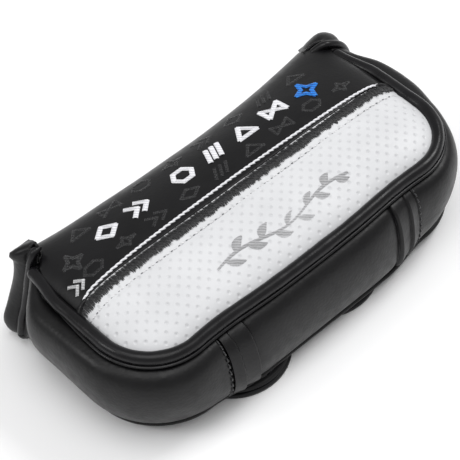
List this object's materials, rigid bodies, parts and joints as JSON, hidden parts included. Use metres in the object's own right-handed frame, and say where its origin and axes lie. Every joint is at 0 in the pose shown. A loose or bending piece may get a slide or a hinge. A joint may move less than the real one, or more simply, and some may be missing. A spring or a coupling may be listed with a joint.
{
  "type": "putter head cover",
  "caption": "Padded pouch for a putter head with a crowned piped front, a deep pleated side wall and a magnetic flap that folds over the mouth and closes under the back.",
  "frame": {"origin": "middle of the bottom of the box that holds the whole cover, which lies on its back", "axes": "+X along the putter head, +Y towards the mouth, +Z out of the front face"},
  "size_m": [0.1524, 0.076, 0.0436],
  "materials": {
    "black_leather": "satin",
    "white_leather": "satin",
    "satin_ribbon": "satin",
    "plush": "matte",
    "foam": "matte",
    "cotton_cord": "matte",
    "stiffener_board": "matte",
    "steel": "satin"
  },
  "bodies": {
    "pouch": {"front_panel_upper": "black_leather", "front_panel_lower": "white_leather", "seam_ribbon": "satin_ribbon", "front_foam": "foam", "front_lining": "plush", "front_piping": "black_leather", "front_piping_cord": "cotton_cord", "gusset_left": "black_leather", "gusset_middle": "black_leather", "gusset_right": "black_leather", "pleat_left": "black_leather", "pleat_right": "black_leather", "gusset_foam": "foam", "gusset_lining": "plush", "back_panel": "black_leather", "back_foam": "foam", "back_lining": "plush", "back_edge_strip": "black_leather", "mouth_binding": "satin_ribbon", "collar_left": "black_leather", "collar_right": "black_leather", "collar_left_binding": "black_leather", "collar_right_binding": "black_leather", "keeper_disc_left": "steel", "keeper_disc_right": "steel"},
    "flap_band": {"flap_band_skin": "black_leather", "flap_band_foam": "foam", "flap_band_lining": "plush"},
    "flap_back": {"flap_back_skin": "black_leather", "flap_back_stiffener": "stiffener_board", "flap_back_lining": "black_leather", "magnet_left": "steel", "magnet_right": "steel"}
  },
  "joints": [
    {"name": "mouth_fold", "type": "hinge", "parent": "pouch", "child": "flap_band", "pos_m": [0, 0.032, 0.0346], "axis": [1, 0, 0], "range_deg": [0, 135]},
    {"name": "back_fold", "type": "hinge", "parent": "flap_band", "child": "flap_back", "pos_m": [0, 0.0348, 0.0006], "axis": [1, 0, 0], "range_deg": [0, 90]}
  ]
}
